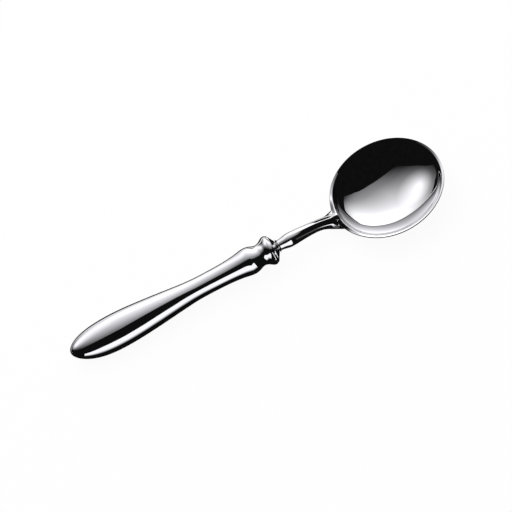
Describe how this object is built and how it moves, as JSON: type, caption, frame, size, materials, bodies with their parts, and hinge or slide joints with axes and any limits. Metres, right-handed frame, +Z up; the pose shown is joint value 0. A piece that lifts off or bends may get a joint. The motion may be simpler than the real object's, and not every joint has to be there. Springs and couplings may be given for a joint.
{
  "type": "serving spoon",
  "caption": "Polished steel serving spoon: a shallow oval bowl on a slim curved neck, capped into a flattened hollow handle with a waist and a flared collar.",
  "frame": {"origin": "middle of the spoon's box at the level of the table it lies on", "axes": "+X from the closed end of the handle to the tip of the bowl, +Z up, out of the bowl"},
  "size_m": [0.2238, 0.0578, 0.0179],
  "materials": {
    "head_steel": "mirror-polished stainless steel",
    "handle_steel": "mirror-polished stainless steel",
    "cap_steel": "mirror-polished stainless steel",
    "resin_cement": "cast resin cement with a sand filler",
    "silver_braze": "polished silver braze"
  },
  "bodies": {
    "root": {"spoon_head": "head_steel", "handle_shell_upper": "handle_steel", "handle_shell_lower": "handle_steel", "collar_cap": "cap_steel", "cement_core": "resin_cement", "neck_braze_ring": "silver_braze"}
  },
  "joints": []
}
